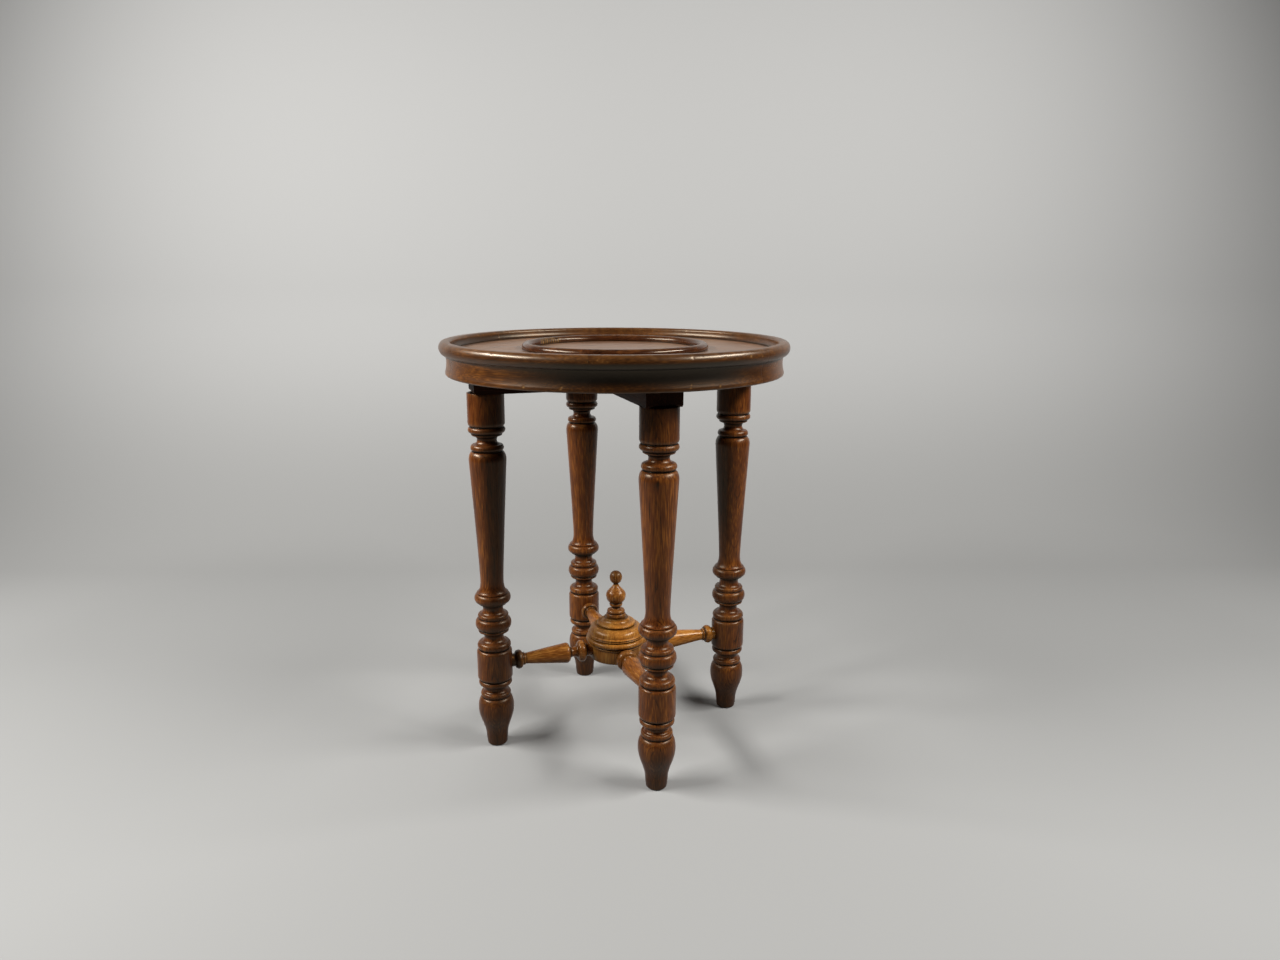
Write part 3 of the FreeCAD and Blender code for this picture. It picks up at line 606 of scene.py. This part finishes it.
def age_turning(bm, foot, axis, dark_ends, end_darkening, most_grime_and_shade):
    """Grime and painted shade in the grooves and under beads, darker colour towards the ends, and wear on
    what stands proud, as values on the wire's vertices.
    """
    grime_and_shade = bm.verts.layers.float.new("grime_and_shade")
    wear = bm.verts.layers.float.new("wear")
    outline = []
    for vertex in bm.verts:
        arm = vertex.co - foot
        height = arm.dot(axis)
        outline.append((height, (arm - height * axis).length, vertex))
    top = max(height for height, _, _ in outline)
    for height, radius, vertex in outline:
        above = max(r for h, r, _ in outline if 0 <= h - height < GRIME_AND_SHADE_REACH) - radius
        below = max(r for h, r, _ in outline if 0 <= height - h < GRIME_AND_SHADE_REACH) - radius
        close = [r for h, r, _ in outline if abs(h - height) < WEAR_REACH]
        # The depth of a groove sets its grime and painted shade, more under a bead than over it
        depth = min(above, below) + GRIME_AND_SHADE_UNDER * above + GRIME_AND_SHADE_OVER * below
        if height < LEVEL or top - height < LEVEL:
            depth = 0.0
        # Darker towards the ends; at the heads of the legs this is painted shade under the tray
        darker_end = end_darkening * (1 - min(height / dark_ends[0], (top - height) / dark_ends[1], 1.0))
        proud = radius - sum(close) / len(close)
        vertex[grime_and_shade] = min(max(depth / GRIME_AND_SHADE_DEPTH, darker_end), most_grime_and_shade)
        vertex[wear] = min(max(proud / WEAR_HEIGHT, 0.0), 1.0)


def shrink_and_ripple(bm, foot, axis, seed):
    """Old turnings have dried a little oval, and the gouge left them faintly uneven."""
    side = axis.orthogonal().normalized()
    other = axis.cross(side)
    for vertex in bm.verts:
        arm = vertex.co - foot
        out = arm - arm.dot(axis) * axis
        if out.length < MM:
            continue
        angle = math.atan2(out.dot(other), out.dot(side))
        oval = OVAL_SHARE * out.length * math.cos(2 * angle + seed)
        uneven = RIPPLE * noise.noise(vertex.co / RIPPLE_LENGTH + Vector((seed, 0, 0)))
        vertex.co += out.normalized() * (oval + uneven)


def paint_shaded_side(bm, foot, axis, side):
    """Paints shade onto one side of a turning, darkest where it faces this side."""
    grime_and_shade = bm.verts.layers.float["grime_and_shade"]
    for vertex in bm.verts:
        arm = vertex.co - foot
        out = arm - arm.dot(axis) * axis
        if out.length > MM:
            share = smooth_step(out.normalized().dot(side), *SHADED_SIDE_SPAN)
            vertex[grime_and_shade] = max(vertex[grime_and_shade], PAINTED_SIDE_SHADE * share)


def knock(bm, places, sizes, lights):
    """Sinks small dents into a mesh, where the stain is knocked off and the wood shows light."""
    wear = bm.verts.layers.float["wear"]
    grime_and_shade = bm.verts.layers.float["grime_and_shade"]
    bm.normal_update()
    bm.verts.ensure_lookup_table()
    near = kdtree.KDTree(len(bm.verts))
    for index, vertex in enumerate(bm.verts):
        near.insert(vertex.co, index)
    near.balance()
    for place, size, light in zip(places, sizes, lights):
        centre, _, _ = near.find(place)
        for _, index, gap in near.find_range(centre, size):
            vertex = bm.verts[index]
            share = (1 - (gap / size) ** 2) ** 2
            vertex.co -= vertex.normal * share * size * KNOCK_STEEPNESS
            vertex[wear] = max(vertex[wear], share * light)
            vertex[grime_and_shade] *= 1 - share


def knock_proud_parts(bm, seed, count):
    """Chance knocks of many years, on the parts that stand proud."""
    wear = bm.verts.layers.float["wear"]
    draw = random.Random(seed)
    proud = [vertex.co.copy() for vertex in bm.verts if vertex[wear] > KNOCKED_WEAR]
    places = draw.sample(proud, count)
    sizes = [draw.uniform(*KNOCK_SIZES) for _ in places]
    lights = [draw.uniform(*KNOCK_LIGHTS) for _ in places]
    knock(bm, places, sizes, lights)


def spin_round(bm, centre, axis, steps):
    """Spins a wire once round: a quarter, then three more like it."""
    quarter = math.tau / 4
    geom = list(bm.verts) + list(bm.edges)
    bmesh.ops.spin(bm, geom=geom, cent=centre, axis=axis, angle=quarter, steps=steps // 4)
    geom = list(bm.verts) + list(bm.edges) + list(bm.faces)
    bmesh.ops.spin(bm, geom=geom, cent=centre, axis=axis, angle=3 * quarter, steps=3, use_duplicate=True)
    bmesh.ops.remove_doubles(bm, verts=bm.verts, dist=SAME_PLACE)
    bmesh.ops.recalc_face_normals(bm, faces=bm.faces)


def turned_piece(node, foot, axis, material, steps, seed, dark_ends, end_darkening=END_DARKENING, most_grime_and_shade=1.0,
                 shaded_side=None, clear_side=None, bore=0.0, knocks=SMALL_TURNING_KNOCKS):
    """A turned piece spun from the outline of its CAD solid."""
    side = clear_side or axis.orthogonal().normalized()
    clear_share = CLEAR_SHARE if clear_side else EVERY_SIDE
    outline = thinned(turned_outline(node, foot, axis, side, clear_share, bore))
    bm = bmesh.new()
    wire(bm, [foot + axis * point.x + side * point.y for point in outline])
    ease_corners(bm)
    age_turning(bm, foot, axis, dark_ends, end_darkening, most_grime_and_shade)
    spin_round(bm, foot, axis, steps)
    shrink_and_ripple(bm, foot, axis, seed)
    if shaded_side:
        paint_shaded_side(bm, foot, axis, shaded_side)
    knock_proud_parts(bm, seed, knocks)
    show(node + "_turned", node, bm, material)


# Each turning's place in its tree: the pith's bearing and distance, and how the grain leans
LEG_PITH_BEARING = {"right": -89, "back": 165, "left": -103, "front": -116}
LEG_LEAN = {"right": -0.07, "back": 0.03, "left": 0.07, "front": 0.07}
LEG_PITH_DISTANCE = 70 * MM
LEG_PITH_STEP = 9 * MM
SPINDLE_PITH_BELOW = 35 * MM
SPINDLE_PITH_STEP = 6 * MM
SPINDLE_PITH_ASIDE = 20 * MM
SPINDLE_LEAN = 0.03
HUB_PITH = Vector((60, 50, 0)) * MM
HUB_LEAN = Vector((0.05, 0.02, 0))
FINIAL_PITH = Vector((-30, 24, 0)) * MM

# Just wider than the finial's socket, which the hub's outline leaves out
HUB_BORE = 7 * MM


def make_legs():
    """Four legs, each from its own billet, so that the rings lie differently in each."""
    for number, (side, outward) in enumerate(SIDES.items()):
        node = "leg_" + side
        foot = middle_of(node)
        foot.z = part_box(node)[0].z
        towards_pith = bearing(LEG_PITH_BEARING[side])
        pith = foot + towards_pith * (LEG_PITH_DISTANCE + LEG_PITH_STEP * number)
        grain = UP + towards_pith * LEG_LEAN[side]
        material = oak("stained_oak_" + node, LEG_TONES, pith, grain, LEG_GLOSS, shine=LEG_SHINE)
        # Painted shade on one side of the left and right legs
        shaded_side = bearing(LEG_SHADED_BEARING[side]) if side in LEG_SHADED_BEARING else None
        turned_piece(node, foot, UP, material, LEG_STEPS, LEG_SEED + number, LEG_DARK_ENDS[side],
                     shaded_side=shaded_side, clear_side=outward, knocks=LEG_KNOCKS)


def make_spindles():
    """Four spindles in a honey-coloured oak, the right one the lightest: lighter wood with painted light."""
    for number, (side, outward) in enumerate(SIDES.items()):
        node = "spindle_" + side
        low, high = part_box(node)
        foot = middle_of(node) - outward * abs((high - low).dot(outward)) / 2
        pith = foot - UP * (SPINDLE_PITH_BELOW + SPINDLE_PITH_STEP * number)
        pith += outward.cross(UP) * SPINDLE_PITH_ASIDE
        # The right spindle is lighter wood with painted light
        tones = LIGHTER_AND_LIT_HONEY_TONES if side == "right" else HONEY_TONES
        grain = outward + UP * SPINDLE_LEAN
        material = oak("honey_oak_" + node, tones, pith, grain, POLISHED_GLOSS, figure=SPINDLE_FIGURE)
        turned_piece(node, foot, outward, material, SPINDLE_STEPS, SPINDLE_SEED + number,
                     SPINDLE_DARK_ENDS[side], SPINDLE_END_DARKENING[side], SPINDLE_MOST_GRIME_AND_SHADE)


def make_hub():
    """The hub, read between two spindles' holes."""
    foot = Vector((0, 0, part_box("hub")[0].z))
    diagonal = (SIDES["right"] + SIDES["front"]).normalized()
    grain = UP + HUB_LEAN
    # Lighter honey oak: lighter wood with painted light on the dome
    material = oak("honey_oak_hub", LIGHTER_AND_LIT_HONEY_TONES, HUB_PITH, grain, POLISHED_GLOSS, figure=FAINT_FIGURE)
    turned_piece("hub", foot, UP, material, HUB_STEPS, HUB_SEED, HUB_DARK_ENDS, END_DARKENING, HUB_MOST_GRIME_AND_SHADE,
                 shaded_side=bearing(HUB_SHADED_BEARING), clear_side=diagonal, bore=HUB_BORE)


def make_finial():
    """The finial on the hub."""
    foot = Vector((0, 0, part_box("finial")[0].z))
    material = oak("honey_oak_finial", HONEY_TONES, FINIAL_PITH, UP, POLISHED_GLOSS, figure=FAINT_FIGURE)
    turned_piece("finial", foot, UP, material, FINIAL_STEPS, FINIAL_SEED, FINIAL_DARK_ENDS)


# Rim: steps along a segment and across its section, and the places in the tree of the boards it is sawn from
RIM_STEPS = 200
RIM_RUN = 1.6 * MM
RIM_PITH_RADIUS = 150 * MM
RIM_PITH_BELOW = 60 * MM
RIM_PITH_STEP = 14 * MM
RIM_BOARDS = 3
RIM_LEAN = 0.02

# Radii between which the rim's inner side gives way to its outer side
RIM_INSIDE = 236.5 * MM
RIM_OUTSIDE = 239.5 * MM

# The front of the rim is darkest, less so near its foot: painted shade where the lamps light it little, over
# a darker patina
PATINA_AND_SHADE_BEARING = math.radians(-97)
PATINA_AND_SHADE_SPAN = (math.radians(20), math.radians(58))
PATINA_AND_SHADE_TOP = (1 * MM, 6 * MM)
PATINA_AND_SHADE_FOOT = (18 * MM, 30 * MM)
PATINA_AND_SHADE_FADE = 0.55

# The inner side is dark at the back left: painted shade over a patina
INNER_PATINA_AND_SHADE_BEARING = math.radians(141)
INNER_PATINA_AND_SHADE_SPAN = (math.radians(18), math.radians(42))
INNER_PATINA_AND_SHADE_TOP = (7 * MM, 11 * MM)
INNER_PATINA_AND_SHADE = 0.75

# Grime and painted shade in the hollow under the nosing and where the rim meets the field, and grime thinly
# on the nosing
HOLLOW_HEIGHT = 1 * MM
HOLLOW_REACH = 3 * MM
HOLLOW_GRIME_AND_SHADE = 0.45
FIELD_GRIME_AND_SHADE_REACH = 2.5 * MM
NOSING_GRIME_RISE = (0, 4 * MM)
NOSING_GRIME = 0.25
NOSING_WEAR_RISE = (3 * MM, 12 * MM)

# Joints between the segments, one of them worn light
JOINT_EASE = 0.15 * MM
JOINT_TOLERANCE = 0.015 * MM
JOINT_GRIME = 0.45
LIGHT_JOINT = math.radians(125.5)
LIGHT_JOINT_TOLERANCE = 0.01
LIGHT_JOINT_WEAR = 2.5

# Flecks that the photograph shows on the front of the rim: bearing, height above the field and size in mm
RIM_FLECKS = (
    (-114.6, 6, 2.6), (-113.2, 5, 2.0), (-111.8, 7, 2.8), (-110.6, 5.5, 2.2), (-109.4, 6.5, 2.4),
    (-134.8, -26, 2.2), (-134.5, -29, 2.0), (-123.0, -28, 2.4), (-122.7, -24, 2.0), (-84.7, -27, 2.2),
    (-84.5, -23, 1.8), (-74.5, -29, 2.4), (-70.0, 5, 2.2), (-64.0, 6, 2.6), (-58.5, 5, 2.2),
)
FLECK_LIGHT = 6.0


def rim_section(node, start):
    """The moulded section at the start of a rim segment, as one face."""
    bm = bmesh.new()
    bm.from_mesh(NODES[node].data)
    bmesh.ops.remove_doubles(bm, verts=bm.verts, dist=LEVEL)
    across = Vector((-math.sin(start), math.cos(start), 0))
    rest = [face for face in bm.faces if any(abs(v.co.dot(across)) > SAME_PLACE for v in face.verts)]
    bmesh.ops.delete(bm, geom=rest, context="FACES")
    bmesh.ops.dissolve_faces(bm, faces=bm.faces, use_verts=False)
    split_long_edges(bm, RIM_RUN)
    return bm


def rim_span(node):
    """The angles where a rim segment starts and ends."""
    vertices = NODES[node].data.vertices
    middle = angle_of(sum((vertex.co for vertex in vertices), Vector()))
    turns = [turn_between(angle_of(vertex.co), middle) for vertex in vertices]
    return middle + min(turns), middle + max(turns)


def age_rim(bm):
    """Wear on the nosing, grime and painted shade in the hollow and at the field, painted shade over a patina
    along the front and inside.
    """
    grime_and_shade = bm.verts.layers.float.new("grime_and_shade")
    wear = bm.verts.layers.float.new("wear")
    for vertex in bm.verts:
        height = vertex.co.z - FIELD
        angle = angle_of(vertex.co)
        outside = smooth_step(vertex.co.xy.length, RIM_INSIDE, RIM_OUTSIDE)
        # Grime and painted shade in the hollow under the nosing and where the inner side meets the field
        hollow = HOLLOW_GRIME_AND_SHADE * math.exp(-((height - HOLLOW_HEIGHT) / HOLLOW_REACH) ** 2)
        field = math.exp(-(height / FIELD_GRIME_AND_SHADE_REACH) ** 2)
        # Painted shade over a patina along the front
        front = 1 - smooth_step(abs(turn_between(angle, PATINA_AND_SHADE_BEARING)), *PATINA_AND_SHADE_SPAN)
        front *= 1 - smooth_step(height, *PATINA_AND_SHADE_TOP)
        front *= 1 - PATINA_AND_SHADE_FADE * smooth_step(-height, *PATINA_AND_SHADE_FOOT)
        # Painted shade over a patina on the inner side at the back left
        inner = 1 - smooth_step(abs(turn_between(angle, INNER_PATINA_AND_SHADE_BEARING)), *INNER_PATINA_AND_SHADE_SPAN)
        inner *= INNER_PATINA_AND_SHADE * (1 - smooth_step(height, *INNER_PATINA_AND_SHADE_TOP))
        nosing = NOSING_GRIME * smooth_step(height, *NOSING_GRIME_RISE)
        vertex[grime_and_shade] = max(outside * max(hollow, front), (1 - outside) * max(field, inner), nosing)
        vertex[wear] = smooth_step(height, *NOSING_WEAR_RISE)


def ease_joints(bm, start, end):
    """Segments have shrunk apart a hair: their ends are eased and dark with dirt, one is worn light."""
    grime_and_shade = bm.verts.layers.float["grime_and_shade"]
    wear = bm.verts.layers.float["wear"]
    bm.normal_update()
    for vertex in bm.verts:
        for joint in (start, end):
            off = turn_between(angle_of(vertex.co), joint)
            if abs(off) * vertex.co.xy.length < JOINT_TOLERANCE:
                inward = vertex.normal - vertex.normal.project(UP.cross(vertex.co))
                vertex.co -= inward.normalized() * JOINT_EASE
                light = abs(turn_between(joint, LIGHT_JOINT)) < LIGHT_JOINT_TOLERANCE
                vertex[grime_and_shade] = 0.0 if light else max(vertex[grime_and_shade], JOINT_GRIME)
                vertex[wear] = LIGHT_JOINT_WEAR if light else 0.0


def fleck_rim(bm, start, end):
    """The flecks of the photograph that fall on this segment."""
    outer = max(vertex.co.xy.length for vertex in bm.verts)
    places = []
    sizes = []
    for place, height, size in RIM_FLECKS:
        if (math.radians(place) - start) % math.tau < end - start:
            places.append(bearing(place) * outer + UP * (FIELD + height * MM))
            sizes.append(size * MM)
    knock(bm, places, sizes, [FLECK_LIGHT] * len(places))


def make_rim():
    """Six moulded segments, sawn from straight boards, so the grain runs along each one's chord."""
    for number, node in enumerate(RIM_SEGMENTS):
        start, end = rim_span(node)
        middle = (start + end) / 2
        out = Vector((math.cos(middle), math.sin(middle), 0))
        below = RIM_PITH_BELOW + RIM_PITH_STEP * (number % RIM_BOARDS)
        pith = out * RIM_PITH_RADIUS + UP * (FIELD - below)
        grain = UP.cross(out) + UP * RIM_LEAN
        material = oak("stained_oak_" + node, RIM_TONES, pith, grain, RIM_GLOSS,
                       shine=RIM_SHINE, figure=RIM_FIGURE, wear=RIM_WEAR)
        bm = rim_section(node, start)
        geom = list(bm.verts) + list(bm.edges) + list(bm.faces)
        bmesh.ops.spin(bm, geom=geom, cent=(0, 0, 0), axis=UP, angle=end - start, steps=RIM_STEPS)
        open_edges = [edge for edge in bm.edges if edge.is_boundary]
        bmesh.ops.holes_fill(bm, edges=open_edges)
        bmesh.ops.recalc_face_normals(bm, faces=bm.faces)
        age_rim(bm)
        ease_joints(bm, start, end)
        knock_proud_parts(bm, RIM_SEED + number, RIM_KNOCKS)
        fleck_rim(bm, start, end)
        show(node + "_moulded", node, bm, material)


# Bottle ring: grime and painted shade at its foot, wear on its top
RING_STEPS = 720
RING_GRIME_AND_SHADE_REACH = 3 * MM
RING_WEAR_REACH = 3 * MM
RING_PITH_BELOW = 70 * MM

# The turner's tool chattered on the ring's inner side, at the back left; its cuts get grime and painted shade
# where deep
CHATTER_START = math.radians(116)
CHATTER_END = math.radians(140)
CHATTER_FADE = math.radians(3)
CHATTER_LENGTH = 5.0 * MM
CHATTER_DEPTH = 0.35 * MM
CHATTER_EDGE = 2 * MM
CHATTER_GRIME_AND_SHADE = 0.8
CHATTER_WEAR = 8.0


def chatter(bm, middle):
    """A row of small cuts across the inner side of the bottle ring, with grime and painted shade where they
    are deep.
    """
    grime_and_shade = bm.verts.layers.float["grime_and_shade"]
    wear = bm.verts.layers.float["wear"]
    for vertex in bm.verts:
        radius = vertex.co.xy.length
        turn = angle_of(vertex.co)
        cut = smooth_step(middle - radius, 0, CHATTER_EDGE)
        cut *= smooth_step(vertex.co.z, FIELD, FIELD + CHATTER_EDGE)
        cut *= smooth_step(turn, CHATTER_START, CHATTER_START + CHATTER_FADE)
        cut *= 1 - smooth_step(turn, CHATTER_END - CHATTER_FADE, CHATTER_END)
        depth = 0.5 + 0.5 * math.sin(math.tau * turn * radius / CHATTER_LENGTH)
        out = Vector((vertex.co.x, vertex.co.y, 0)).normalized()
        vertex.co += out * CHATTER_DEPTH * depth * cut
        vertex[grime_and_shade] = max(vertex[grime_and_shade], CHATTER_GRIME_AND_SHADE * depth * cut)
        vertex[wear] = max(vertex[wear], CHATTER_WEAR * (1 - depth) * cut)


def make_bottle_ring():
    """The raised ring, spun from its convex section."""
    node = "bottle_ring"
    section = {(round(v.co.xy.length / LEVEL), round(v.co.z / LEVEL)) for v in NODES[node].data.vertices}
    points = [Vector(point) * LEVEL for point in section]
    centre = sum(points, Vector((0, 0))) / len(points)
    points.sort(key=lambda point: angle_of(point - centre))
    points = thinned(points + points[:1])[:-1]
    bm = bmesh.new()
    wire(bm, [Vector((point.x, 0, point.y)) for point in points], closed=True)
    ease_corners(bm)
    grime_and_shade = bm.verts.layers.float.new("grime_and_shade")
    wear = bm.verts.layers.float.new("wear")
    highest = max(vertex.co.z for vertex in bm.verts)
    for vertex in bm.verts:
        # Grime and painted shade where the ring meets the field
        vertex[grime_and_shade] = min(max(1 - (vertex.co.z - FIELD) / RING_GRIME_AND_SHADE_REACH, 0.0), 1.0)
        vertex[wear] = min(max(1 - (highest - vertex.co.z) / RING_WEAR_REACH, 0.0), 1.0)
    spin_round(bm, Vector(), UP, RING_STEPS)
    chatter(bm, sum(point.x for point in points) / len(points))
    pith = UP * (FIELD - RING_PITH_BELOW)
    material = oak("stained_oak_bottle_ring", RING_TONES, pith, SIDES["right"], RING_GLOSS,
                   shine=RING_SHINE, figure=RIM_FIGURE)
    show("bottle_ring_moulded", node, bm, material)


# The pieces that keep their CAD shape: each board's pith behind and above its middle, and its grain's lean
BOARD_PITHS = ((-30 * MM, -55 * MM), (55 * MM, -80 * MM), (20 * MM, -48 * MM))
BOARD_LEANS = (0.012, -0.02, 0.016)
BEARER_PITH = Vector((20, 20, 60)) * MM
BEARER_GRAINS = {"bearer_side_to_side": SIDES["right"], "bearer_front_to_back": SIDES["back"]}
WEDGE_PITH = Vector((0, 0, -50)) * MM


def dress(node, material):
    """Gives a CAD piece that keeps its own shape a finish."""
    NODES[node].data.materials.clear()
    NODES[node].data.materials.append(material)


def dress_boards():
    """The field: satin, worn duller than the turnings, with the boards' grain from side to side."""
    for node, (behind, above), lean in zip(BOARDS, BOARD_PITHS, BOARD_LEANS):
        pith = middle_of(node) + SIDES["back"] * behind + UP * above
        grain = SIDES["right"] + UP * lean
        dress(node, oak("satin_oak_" + node, BOARD_TONES, pith, grain, BOARD_GLOSS, shine=BOARD_SHINE))


def dress_under_the_top():
    """Bearers and wedges of raw oak gone dark, and the screws."""
    for node, grain in BEARER_GRAINS.items():
        pith = middle_of(node) + BEARER_PITH
        dress(node, oak("raw_oak_" + node, RAW_TONES, pith, grain, RAW_GLOSS, shine=BEARER_SHINE))
    dress("leg_wedges", oak("raw_oak_leg_wedges", RAW_TONES, WEDGE_PITH, UP, RAW_GLOSS))
    dress("bearer_screws", aged_steel())


def place_camera():
    """The photograph's camera."""
    data = bpy.data.cameras.new("camera")
    data.lens = CAMERA_LENS
    data.sensor_width = CAMERA_SENSOR
    camera = bpy.data.objects.new("camera", data)
    bpy.context.scene.collection.objects.link(camera)
    camera.matrix_world = (
        Matrix.Translation(CAMERA_PLACE)
        @ Matrix.Rotation(math.radians(CAMERA_HEADING), 4, "Z")
        @ Matrix.Rotation(math.radians(90 - CAMERA_DIP), 4, "X")
        @ Matrix.Rotation(math.radians(CAMERA_ROLL), 4, "Z")
    )
    bpy.context.scene.camera = camera


def hang_softboxes():
    """Two soft lamps at the sides."""
    for name, (turn, elevation, watts) in SOFTBOXES.items():
        level = Matrix.Rotation(math.radians(turn), 3, "Z") @ TOWARDS_CAMERA
        rise = math.radians(elevation)
        direction = level * math.cos(rise) + UP * math.sin(rise)
        data = bpy.data.lights.new(name, "AREA")
        data.shape = "RECTANGLE"
        data.size = SOFTBOX_WIDTH
        data.size_y = SOFTBOX_HEIGHT
        data.energy = watts
        lamp = bpy.data.objects.new(name, data)
        bpy.context.scene.collection.objects.link(lamp)
        lamp.location = SOFTBOX_AIM + direction * SOFTBOX_DISTANCE
        lamp.rotation_euler = direction.to_track_quat("Z", "Y").to_euler()


def light_world():
    """Weak light all round that is weakest where the camera stands."""
    world = bpy.data.worlds.new("studio")
    world.use_nodes = True
    tree = world.node_tree
    background = tree.nodes["Background"]
    facing = add(tree, "VectorMath", {
        0: add(tree, "TexCoord").outputs["Generated"],
        1: TOWARDS_CAMERA,
    }, operation="DOT_PRODUCT").outputs["Value"]
    level = add(tree, "MapRange", {
        "Value": facing,
        "From Min": CAMERA_SIDE_SPAN[0],
        "From Max": CAMERA_SIDE_SPAN[1],
        "To Min": WORLD_LEVEL,
        "To Max": CAMERA_SIDE_LEVEL,
    }).outputs["Result"]
    tree.links.new(level, background.inputs["Strength"])
    background.inputs["Color"].default_value = srgb(WORLD_COLOUR)
    bpy.context.scene.world = world


def make_backdrop():
    """A pale floor that curves up to a wall."""
    sideways = UP.cross(TOWARDS_CAMERA)
    bm = bmesh.new()
    left = sideways * -FLOOR_REACH
    fold = TOWARDS_CAMERA * -WALL_DISTANCE
    wire(bm, [left + point for point in (TOWARDS_CAMERA * FLOOR_REACH, fold, fold + UP * WALL_HEIGHT)])
    swept = bmesh.ops.extrude_edge_only(bm, edges=bm.edges)
    moved = [item for item in swept["geom"] if isinstance(item, bmesh.types.BMVert)]
    bmesh.ops.translate(bm, verts=moved, vec=sideways * 2 * FLOOR_REACH)
    corner = [edge for edge in bm.edges if len(edge.link_faces) == 2]
    bmesh.ops.bevel(
        bm, geom=corner, affect="EDGES",
        offset=WALL_COVE, segments=COVE_STEPS, profile=0.5, material=-1,
    )
    bmesh.ops.recalc_face_normals(bm, faces=bm.faces)
    for face in bm.faces:
        face.smooth = True
    mesh = bpy.data.meshes.new("floor_and_wall")
    bm.to_mesh(mesh)
    bm.free()
    mesh.materials.append(pale_backdrop())
    floor = bpy.data.objects.new("floor_and_wall", mesh)
    bpy.context.scene.collection.objects.link(floor)


make_legs()
make_spindles()
make_hub()
make_finial()
make_rim()
make_bottle_ring()
dress_boards()
dress_under_the_top()
place_camera()
hang_softboxes()
light_world()
make_backdrop()
bpy.context.scene.view_settings.view_transform = "Standard"
